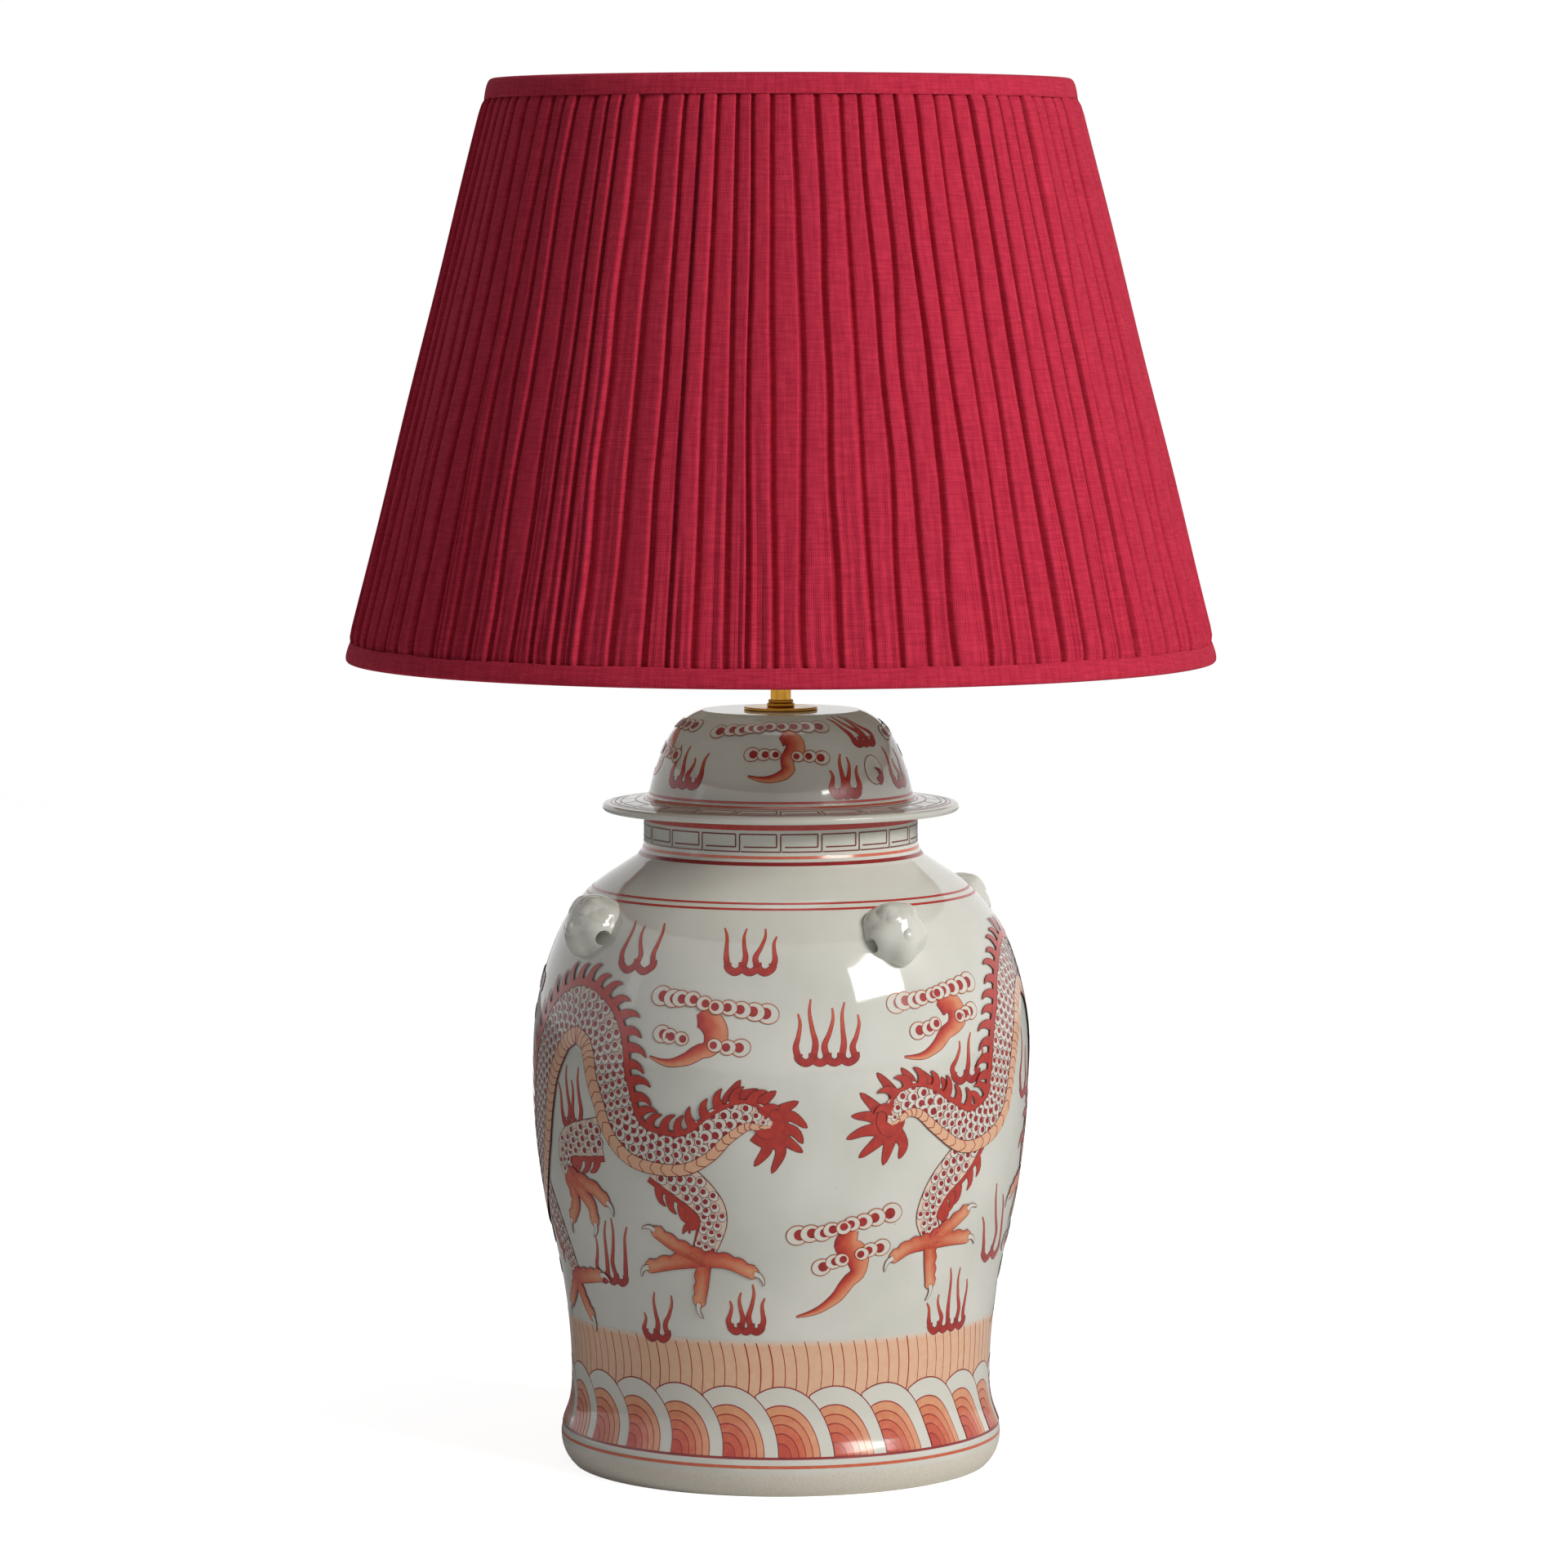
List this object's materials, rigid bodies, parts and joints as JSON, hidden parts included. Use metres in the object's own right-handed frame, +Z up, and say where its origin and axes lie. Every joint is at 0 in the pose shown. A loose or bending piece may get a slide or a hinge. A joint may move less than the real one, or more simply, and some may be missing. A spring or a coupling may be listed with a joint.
{
  "type": "ginger jar lamp",
  "caption": "Table lamp: a lidded porcelain jar on a flared foot, with mask lugs, a short brass stem and a pleated tapered shade on a carrier.",
  "frame": {"origin": "centre of the jar's foot, on the surface the lamp stands on", "axes": "+Z up along the stem, -Y is the front, +X to the right seen from the front"},
  "size_m": [0.5036, 0.5036, 0.803],
  "materials": {
    "porcelain": "grey-white glaze with iron-red painting",
    "rubber": "moulded",
    "plated_steel": "zinc plated",
    "brass": "polished and lacquered",
    "socket_ceramic": "glazed steatite",
    "contact_brass": "drawn",
    "bulb_metal": "drawn and knurled",
    "bulb_glass": "frosted",
    "bulb_inside": "clear stem with filament rods",
    "frame_enamel": "white enamelled wire",
    "lining_laminate": "laminated card",
    "pleated_linen": "knife-pleated raspberry linen",
    "trim_linen": "folded linen band"
  },
  "bodies": {
    "lamp": {"jar_body": "porcelain", "mask_lug_1": "porcelain", "mask_lug_2": "porcelain", "mask_lug_3": "porcelain", "mask_lug_4": "porcelain", "jar_lid": "porcelain", "base_cushion": "rubber", "inlet_grommet": "rubber", "base_washer": "plated_steel", "base_nut": "plated_steel", "stem_rod": "plated_steel", "stem_disc": "brass", "tube_collar": "brass", "cover_tube": "brass", "holder_cap": "brass", "holder_skirt": "brass", "shade_ring_lower": "brass", "shade_ring_upper": "brass", "gallery_nut": "brass", "carrier_plate": "brass", "carrier_arm_left": "brass", "carrier_arm_right": "brass", "carrier_boss": "brass", "holder_insulator": "socket_ceramic", "screw_shell": "contact_brass", "centre_contact": "contact_brass", "bulb_contact": "bulb_metal", "bulb_cap": "bulb_metal", "bulb_glass": "bulb_glass", "bulb_stem": "bulb_inside"},
    "gallery": {"gallery": "brass"},
    "shade": {"top_fitter": "frame_enamel", "bottom_hoop": "frame_enamel", "shade_lining": "lining_laminate", "shade_cover": "pleated_linen", "top_trim": "trim_linen", "bottom_trim": "trim_linen"},
    "switch": {"switch_bar": "brass"}
  },
  "joints": [
    {"name": "gallery_turn", "type": "hinge", "parent": "lamp", "child": "gallery", "pos_m": [0, 0, 0.764], "axis": [0, 0, 1], "continuous": true},
    {"name": "shade_lift", "type": "slide", "parent": "gallery", "child": "shade", "axis": [0, 0, 1], "range_m": [0, 0.31]},
    {"name": "switch_push", "type": "slide", "parent": "lamp", "child": "switch", "axis": [1, 0, 0], "range_m": [0, 0.007]}
  ]
}
